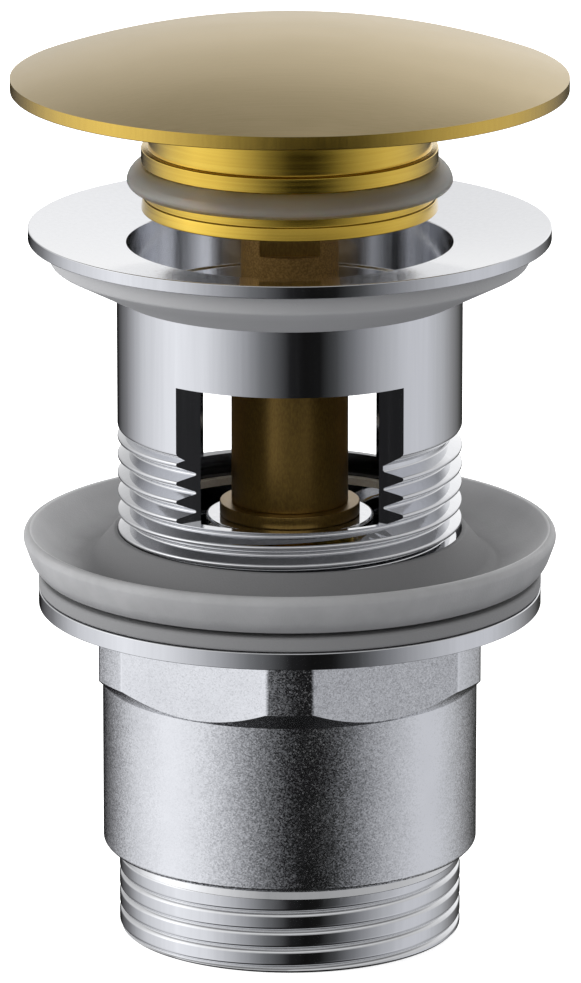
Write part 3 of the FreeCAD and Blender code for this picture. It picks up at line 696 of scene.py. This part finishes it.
def makePushRod():
    size = pushRod
    foot = footOf("push_rod")
    piece = newPiece("pushRod", turnedMesh(size["profile"], foot, closed=False, steps=size["steps"]), "cast", "brass")
    wideCut, deepCut, past = 16, 4.0, 1
    away = size["flats"] / 2 + deepCut / 2
    high = size["length"] - size["flatFoot"] + past
    middle = foot / mm + size["flatFoot"] + high / 2
    combine(piece, blocks("flats", [((wideCut, deepCut, high), (0, y, middle), 0) for y in (away, -away)]))
    # the ball's slot: its width is square to its slope, and it runs past both ends by half its width
    over = math.degrees(math.asin(size["slotHalf"] / size["ballOrbit"]))
    turn = size["slotTurn"] + 2 * over
    run = size["travel"] * turn / size["slotTurn"]
    arcLength = math.radians(size["slotTurn"]) * size["ballOrbit"]
    tall = size["slotHalf"] * math.hypot(1, size["travel"] / arcLength)
    low = size["ballHeight"] - size["travel"] * over / size["slotTurn"]
    inner, outer = size["ballOrbit"] - size["slotHalf"], size["cutRadius"]
    groove = coiledMesh([(inner, low - tall), (outer, low - tall), (outer, low + tall), (inner, low + tall)], foot,
                        turn / 360, run * 360 / turn, size["slotSteps"], size["slotAngle"] - over)
    combine(piece, newPiece("camGroove", groove, "steel"))
    for face in piece.data.polygons:  # the machined flats are smoother than the casting
        flat = abs(face.normal.y) > 0.999 and face.center.z > foot + size["flatFoot"] * mm
        face.material_index = 1 if flat else 0
    finish(piece, "plug", "brass_turned", "push_rod")


latchBall = {"subdivisions": 3}


def makeLatchBall():
    low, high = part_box("latch_ball")
    bm = bmesh.new()
    bmesh.ops.create_icosphere(bm, subdivisions=latchBall["subdivisions"], radius=(high.z - low.z) / 2,
                               matrix=Matrix.Translation((low + high) / 2))
    finish(newPiece("latchBall", bm, "steel"), "latch", "steel_plain", "latch_ball", angle=60)


returnSpring = {
    "meanRadius": 3.15,
    "wireRadius": 0.42,
    "turns": 7,
    "endGap": 0.01,
    "wireSides": 12,
    "stepsPerTurn": 36,
}


def makeReturnSpring():
    size = returnSpring
    low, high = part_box("return_spring")
    seat = size["wireRadius"] + size["endGap"]
    start = Matrix.Translation((size["meanRadius"] * mm, 0, low.z + seat * mm)) @ Matrix.Rotation(math.pi / 2, 4, "X")
    bm = bmesh.new()
    bmesh.ops.create_circle(bm, radius=size["wireRadius"] * mm, segments=size["wireSides"], matrix=start)
    coilUp(bm, size["turns"], high.z - low.z - 2 * seat * mm, size["turns"] * size["stepsPerTurn"])
    piece = finish(newPiece("returnSpring", bm, "steel"), "upper", "steel_plain", "return_spring", angle=60, even=False)
    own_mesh(piece)


# the seals under the basin

cupSeal = {
    # cup lip, valley and a conical hub; a soft moulding, so every corner is round
    "profile": [
        (21.0, 0.05), (28.0, 0.05), (28.0, 0.5), (30.5, 0.5, 0.4), (31.5, 1.7, 0.5), (32.6, 4.75, 0.55),
        (32.05, 5.43, 0.3), (31.5, 5.43, 0.2), (29.6, 3.2, 1.2), (26.6, 1.45, 1.3), (24.6, 1.5, 0.9), (21.5, 5.42, 0.2),
        (21.0, 5.42),
    ],
    "lipInside": 31.7,
}


def makeCupSeal():
    piece = newPiece("cupSeal", turnedMesh(cupSeal["profile"], footOf("cup_seal")), "cupRubber", "cupInside")
    for face in piece.data.polygons:  # the cup's inside gets its own ramp: painted shade in the valley, paler towards the lip
        inside = face.normal.z > 0.1 and math.hypot(*face.center.xy) < cupSeal["lipInside"] * mm
        face.material_index = 1 if inside else 0
    finish(piece, "seal", "seal_rubber", "cup_seal", angle=45)


slipWasher = {"profile": [(21.35, 0.0, 0.1), (30.65, 0.0, 0.45), (30.65, 1.8, 0.45), (21.35, 1.8, 0.1)]}


def makeSlipWasher():
    bm = turnedMesh(slipWasher["profile"], footOf("slip_washer"))
    finish(newPiece("slipWasher", bm, "washerRubber"), "seal", "seal_rubber", "slip_washer", angle=45)


tailBody = {
    "smoothRadius": 20.955,
    "rootRadius": 20.6,
    "bore": 18.5,
    "barrel": 22.9,
    "barrelFoot": 10.8,
    "barrelChamfer": 0.45,
    "hexFoot": 31.45,
    "hexTop": 41.0,
    "hexFlats": 46.3,
    "hexCorner": 25.2,
    "flange": 30.65,
    "height": 43.1,
    "socket": 21.155,
    "socketFloor": 24.0,
    "insideShadeTo": 18.6,  # faces nearer the axis than this get the dark chrome: painted shade
    "socketTo": 21.255,  # and in the socket nearer than this
    "coreChamfer": 0.28,
    "threadFoot": 1.15,
    "threadTurns": 5.2,
    "threadAngle": 150,
    "threadChamfer": 20.61,  # where the cone that cuts the ridge off meets the foot
    "pitch": 2.309,
    "crestHalf": 0.84,
    "crestRound": 0.3,
    "rootFlat": 0.04,
    "rootRound": 0.03,
    "stepsPerTurn": 128,
    "collarFoot": 9.36,  # the thread ends in a slightly conical collar under the barrel
    "collarEdge": 0.06,
    "collarTop": 20.58,
}


def makeTailBody():
    size = tailBody
    foot = footOf("tail_body")
    deep, barrel, top = size["rootRadius"], size["barrel"], size["height"]
    core, slant = deep - coreGap, size["coreChamfer"]
    collar, edge = size["collarFoot"], size["collarEdge"]
    under, chamfer = size["barrelFoot"], size["barrelChamfer"]
    body = turnedMesh([
        (size["bore"], 0.0, 0.2), (core - slant, 0.0), (core, slant), (core, collar - edge),
        (size["smoothRadius"], collar, edge / 2), (size["collarTop"], under), (barrel - chamfer, under),
        (barrel, under + chamfer, 0.2), (barrel, size["hexFoot"]),
        (size["hexCorner"], size["hexFoot"] + size["hexCorner"] - barrel), (size["hexCorner"], size["hexTop"]),
        (size["flange"], size["hexTop"], 0.15), (size["flange"], top, 0.15), (size["socket"] + 1, top, 0.3),
        (size["socket"], top - 1, 0.3), (size["socket"], size["socketFloor"]), (size["bore"], size["socketFloor"], 0.2),
    ], foot)
    piece = newPiece("tailBody", body, "blasted")
    flats, reach, apart = size["hexFlats"] / 2, 6.0, 0.1
    tall = size["hexTop"] - size["hexFoot"]
    width = 2 * flats * math.tan(math.radians(30)) - apart
    middle = (flats + reach / 2, 0, foot / mm + size["hexTop"] - tall / 2)
    combine(piece, blocks("hexFlats", [((reach, width, tall), middle, 60 * i) for i in range(6)]))
    ridge = newPiece("ridge", coiledMesh(ridgeProfile(size), foot + (size["threadFoot"] - size["pitch"]) * mm,
                                         size["threadTurns"], size["pitch"], size["stepsPerTurn"],
                                         size["threadAngle"]), "chrome")
    # the thread runs out at the foot's chamfer and under the collar
    inner, outer, past = 19, 23, 3
    stop, cone = collar - edge / 2, size["threadChamfer"]
    ends = turnedMesh([(inner, stop), (outer, stop), (outer, collar + past), (inner, collar + past)], foot)
    below = newPiece("below", turnedMesh([(inner, -past), (outer, -past), (outer, outer - cone), (cone, 0),
                                          (inner, 0)], foot))
    ends.from_mesh(below.data)
    bpy.data.objects.remove(below)
    combine(ridge, newPiece("ends", ends, "chrome"))
    combine(piece, ridge, "UNION")
    piece.data.materials.append(finishes["chrome"])
    piece.data.materials.append(finishes["insideShade"])
    for face in piece.data.polygons:  # blasted from the barrel's foot to the hexagon's top, polished elsewhere; the bore and the socket get the dark chrome, painted shade
        across, up = math.hypot(*face.center.xy) / mm, (face.center.z - foot) / mm
        insideShade = across < size["insideShadeTo"] or across < size["socketTo"] and up > under + 1
        polished = up < under - 0.01 or up > size["hexTop"] + 0.05
        face.material_index = 2 if insideShade else 1 if polished else 0
    finish(piece, "tail", "chrome_blasted", "tail_body")


makeCapDome()
makePlugSkirt()
makeLipSeal()
makeFlangeTube()
makeUpperGasket()
makeStrainerSpider()
makeCartridge()
makePushRod()
makeLatchBall()
makeReturnSpring()
makeCupSeal()
makeSlipWasher()
makeTailBody()

# the CAD pieces that stay keep their shape and get a finish
keptPieces = {
    "cartridge_nut": "brass",
    "latch_ring": "brass",
    "thrust_disc": "acetal",
    "cap_stud": "steel",
    "fixing_screw": "steel",
    "screw_washer": "steel",
}
for node, look in keptPieces.items():
    for entry in frame["nodes"][node].material_slots:
        entry.material = finishes[look]
print("pieces made")


studio = {
    "lens": 303.6,  # mm, fitted to the photograph's ellipses
    "sensor": 36,
    "cameraPlace": (0.0, -0.9748, 0.31635),
    "cameraTilt": 74.98,
    "shiftPixels": 0.7,
    "imageHeight": 983,
    "clipEnd": 20,
    "floorSize": 4.0,
    "floorGap": 0.02,
    "floorColour": "F4F4F4",
    "floorGlow": 0.65,
}

light = {
    # what polished chrome shows of the room low down, by the angle round the object from the
    # camera's side: black flags beside the camera and behind, large soft boxes left and right
    "low": [
        (-180, "080808"), (-165, "141415"), (-140, "727274"), (-113, "C3C4C7"), (-82, "E2E3E6"), (-58, "D3D4D7"),
        (-37, "A6A7AA"), (-18, "68696B"), (0, "1D1D1E"), (10, "101010"), (20, "141414"), (31, "3F4041"),
        (45, "737477"), (62, "9D9EA1"), (85, "BBBCC0"), (104, "BBBCC0"), (124, "A1A2A4"), (138, "7F7F80"),
        (160, "3A3A39"), (180, "080808"),
    ],
    # how bright it is higher up: a box at the left, a wide one behind at the right
    "high": [
        (-180, 1.02), (-174, 1.02), (-166, 0.78), (-150, 0.6), (-120, 0.9), (-85, 1.7), (-50, 1.0), (-15, 0.45),
        (20, 0.45), (50, 0.55), (85, 0.7), (120, 0.85), (150, 1.15), (172, 1.2), (180, 1.05),
    ],
    # and above about 20 degrees
    "higher": [
        (-180, 1.02), (-174, 1.02), (-166, 0.78), (-150, 0.6), (-120, 0.9), (-85, 1.5), (-50, 1.1), (0, 0.95),
        (50, 0.9), (85, 0.8), (120, 0.85), (150, 1.15), (172, 1.2), (180, 1.05),
    ],
    # heights are sines: 0 is level, 1 straight up
    "fade": [(0.0, 1.0), (0.45, 1.0), (0.6, 0.62), (0.75, 0.24), (1.0, 0.12)],
    "lowToHigh": (-0.16, -0.02),
    "highToHigher": (0.22, 0.45),
    "topBox": 0.9,  # a soft box straight overhead
    "toTopBox": (0.89, 0.96),
    "table": 0.01,  # the dark table straight below
    "tableShare": 0.97,
    "toTable": (-0.7, -0.86),
    "ringRange": 2,  # a ramp holds 0 to 1, so the upper rings are stored halved
    "chromeShare": 0.68,  # how much light polished chrome gives back: the low ring is that much brighter
    "mattGains": (1.5, 1.12),  # how much more matt surfaces get from below and from above
    "mattHeights": (-0.2, 0.15),
}


def makeWorld():
    most = light["ringRange"]
    lows = [((angle + 180) / 360, linear(code)) for angle, code in light["low"]]
    highs, highers = ([((angle + 180) / 360, grey(level / most)) for angle, level in light[ring]]
                      for ring in ("high", "higher"))
    world = bpy.data.worlds.new("studio")
    bpy.context.scene.world = world
    world.cycles.sampling_method = "NONE"  # rays of each kind see only their own light
    world.use_nodes = True
    tree = world.node_tree
    tree.nodes.clear()
    place = addNode(tree, "ShaderNodeTexCoord")
    split = addNode(tree, "ShaderNodeSeparateXYZ", links={0: place.outputs["Generated"]})
    up = split.outputs["Z"]
    ahead = addNode(tree, "ShaderNodeMath", {"operation": "MULTIPLY", 1: -1.0}, {0: split.outputs["Y"]})
    turn = addNode(tree, "ShaderNodeMath", {"operation": "ARCTAN2"}, {0: split.outputs["X"], 1: ahead.outputs[0]})
    around = addNode(tree, "ShaderNodeMapRange", {"From Min": -math.pi, "From Max": math.pi},
                     {"Value": turn.outputs[0]})
    # one step per change of height: where it starts and ends, and how far it goes
    steps = {}
    for name, reach in (("lowToHigh", 1), ("highToHigher", 1), ("toTopBox", 1), ("toTable", light["tableShare"])):
        start, end = light[name]
        steps[name] = addNode(tree, "ShaderNodeMapRange", {"From Min": start, "From Max": end, "To Max": reach},
                              {"Value": up}).outputs[0]
    lowRing = addNode(tree, "ShaderNodeValToRGB", {"stops": lows}, {0: around.outputs[0]})
    lowRing = addNode(tree, "ShaderNodeMix", {"data_type": "RGBA", "blend_type": "MULTIPLY", 0: 1.0,
                                              7: grey(1 / light["chromeShare"])}, {6: lowRing.outputs[0]})
    highRing = addNode(tree, "ShaderNodeValToRGB", {"stops": highs}, {0: around.outputs[0]})
    higherRing = addNode(tree, "ShaderNodeValToRGB", {"stops": highers}, {0: around.outputs[0]})
    ring = addNode(tree, "ShaderNodeMix", {"data_type": "RGBA"},
                   {0: steps["highToHigher"], 6: highRing.outputs[0], 7: higherRing.outputs[0]})
    dimmer = addNode(tree, "ShaderNodeValToRGB", {"stops": [(z, grey(level)) for z, level in light["fade"]]}, {0: up})
    dimmer = addNode(tree, "ShaderNodeMix", {"data_type": "RGBA", "blend_type": "MULTIPLY", 0: 1.0, 7: grey(most)},
                     {6: dimmer.outputs[0]})
    sky = addNode(tree, "ShaderNodeMix", {"data_type": "RGBA", "blend_type": "MULTIPLY", 0: 1.0},
                  {6: ring.outputs[2], 7: dimmer.outputs[2]})
    sky = addNode(tree, "ShaderNodeMix", {"data_type": "RGBA", 7: grey(light["topBox"])},
                  {0: steps["toTopBox"], 6: sky.outputs[2]})
    table = addNode(tree, "ShaderNodeMix", {"data_type": "RGBA", 7: grey(light["table"])},
                    {0: steps["toTable"], 6: lowRing.outputs[2]})
    room = addNode(tree, "ShaderNodeMix", {"data_type": "RGBA"},
                   {0: steps["lowToHigh"], 6: table.outputs[2], 7: sky.outputs[2]})
    # the camera sees plain white, through the silicone too
    rays = addNode(tree, "ShaderNodeLightPath")
    seen = addNode(tree, "ShaderNodeMath", {"operation": "MAXIMUM"},
                   {0: rays.outputs["Is Camera Ray"], 1: rays.outputs["Is Transmission Ray"]})
    clear = addNode(tree, "ShaderNodeMix", {"data_type": "RGBA", 7: grey(1)}, {0: seen.outputs[0], 6: room.outputs[2]})
    (below, above), (start, end) = light["mattGains"], light["mattHeights"]
    more = addNode(tree, "ShaderNodeMapRange", {"From Min": start, "From Max": end, "To Min": below - 1,
                                                "To Max": above - 1}, {"Value": up})
    strength = addNode(tree, "ShaderNodeMath", {"operation": "MULTIPLY_ADD", 2: 1.0},
                       {0: rays.outputs["Is Diffuse Ray"], 1: more.outputs[0]})
    background = addNode(tree, "ShaderNodeBackground",
                         links={"Color": clear.outputs[2], "Strength": strength.outputs[0]})
    addNode(tree, "ShaderNodeOutputWorld", links={0: background.outputs[0]})


def makeFloor():
    bm = bmesh.new()
    bmesh.ops.create_grid(bm, x_segments=1, y_segments=1, size=studio["floorSize"] / 2)
    floor = newPiece("floor", bm)
    floor.location.z = footOf("tail_body") - studio["floorGap"] * mm
    material = bpy.data.materials.new("paintedFloor")  # matt white paint, seen as pure white
    material.use_nodes = True
    tree = material.node_tree
    tree.nodes.clear()
    paint = addNode(tree, "ShaderNodeBsdfDiffuse", {"Color": linear(studio["floorColour"])})
    glow = addNode(tree, "ShaderNodeEmission", {"Color": grey(1)})
    rays = addNode(tree, "ShaderNodeLightPath")
    lit = addNode(tree, "ShaderNodeMath", {"operation": "MULTIPLY", 1: studio["floorGlow"]},
                  {0: rays.outputs["Is Camera Ray"]})
    tree.links.new(lit.outputs[0], glow.inputs["Strength"])
    both = addNode(tree, "ShaderNodeAddShader", links={0: paint.outputs[0], 1: glow.outputs[0]})
    addNode(tree, "ShaderNodeOutputMaterial", links={"Surface": both.outputs[0]})
    floor.data.materials.append(material)
    floor.visible_glossy = False
    floor.visible_diffuse = False


lampAim = (0, 0, 0.06)  # the middle of the object
lamps = {
    # place and size in metres, power in watts
    "keyLamp": {"place": (-0.85, -0.15, 0.35), "size": 0.4, "power": 2.0},
    "backLamp": {"place": (0.2, 0.75, 0.7), "size": 0.4, "power": 6.0},
}


def makeLamps():
    for name, lamp in lamps.items():
        data = bpy.data.lights.new(name, "AREA")
        data.shape = "DISK"
        data.size = lamp["size"]
        data.energy = lamp["power"]
        item = bpy.data.objects.new(name, data)
        bpy.context.scene.collection.objects.link(item)
        item.location = lamp["place"]
        item.rotation_euler = (Vector(lampAim) - item.location).to_track_quat("-Z", "Y").to_euler()
        item.visible_glossy = False


def makeCamera():
    data = bpy.data.cameras.new("camera")
    data.sensor_width = studio["sensor"]
    data.lens = studio["lens"]
    data.clip_end = studio["clipEnd"]
    data.shift_x = studio["shiftPixels"] / studio["imageHeight"]
    camera = bpy.data.objects.new("camera", data)
    bpy.context.scene.collection.objects.link(camera)
    camera.location = studio["cameraPlace"]
    camera.rotation_euler = (math.radians(studio["cameraTilt"]), 0, 0)
    bpy.context.scene.camera = camera


makeWorld()
makeFloor()
makeLamps()
makeCamera()
bpy.context.scene.view_settings.view_transform = "Standard"
print("studio made")
